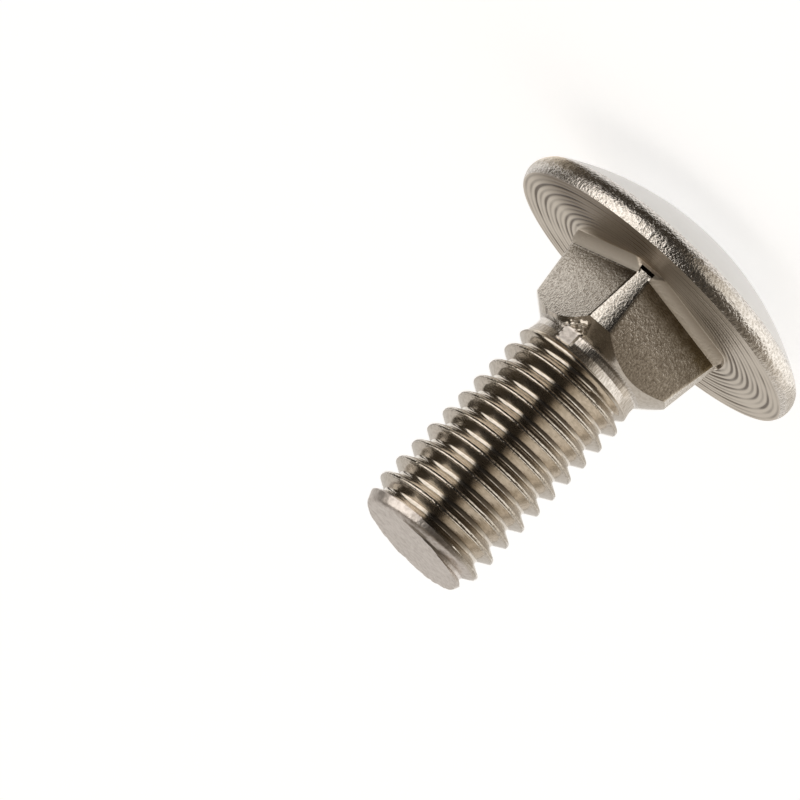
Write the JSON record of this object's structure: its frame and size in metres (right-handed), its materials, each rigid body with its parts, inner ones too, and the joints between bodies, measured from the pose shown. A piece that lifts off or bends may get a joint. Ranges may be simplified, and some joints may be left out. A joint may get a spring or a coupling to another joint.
{
  "type": "carriage bolt",
  "caption": "Short steel bolt with a low domed head, a square neck that keeps it from turning in its hole, and a metric thread for a nut.",
  "frame": {"origin": "centre of the bearing face under the head, on the bolt's axis", "axes": "+Z along the shank towards the thread end; the flats of the square neck face X and Y"},
  "size_m": [0.0198, 0.0198, 0.0241],
  "materials": {
    "stainless_steel": "cold-headed stainless steel, satin head and neck, bright rolled thread"
  },
  "bodies": {
    "root": {"bolt": "stainless_steel"}
  },
  "joints": []
}
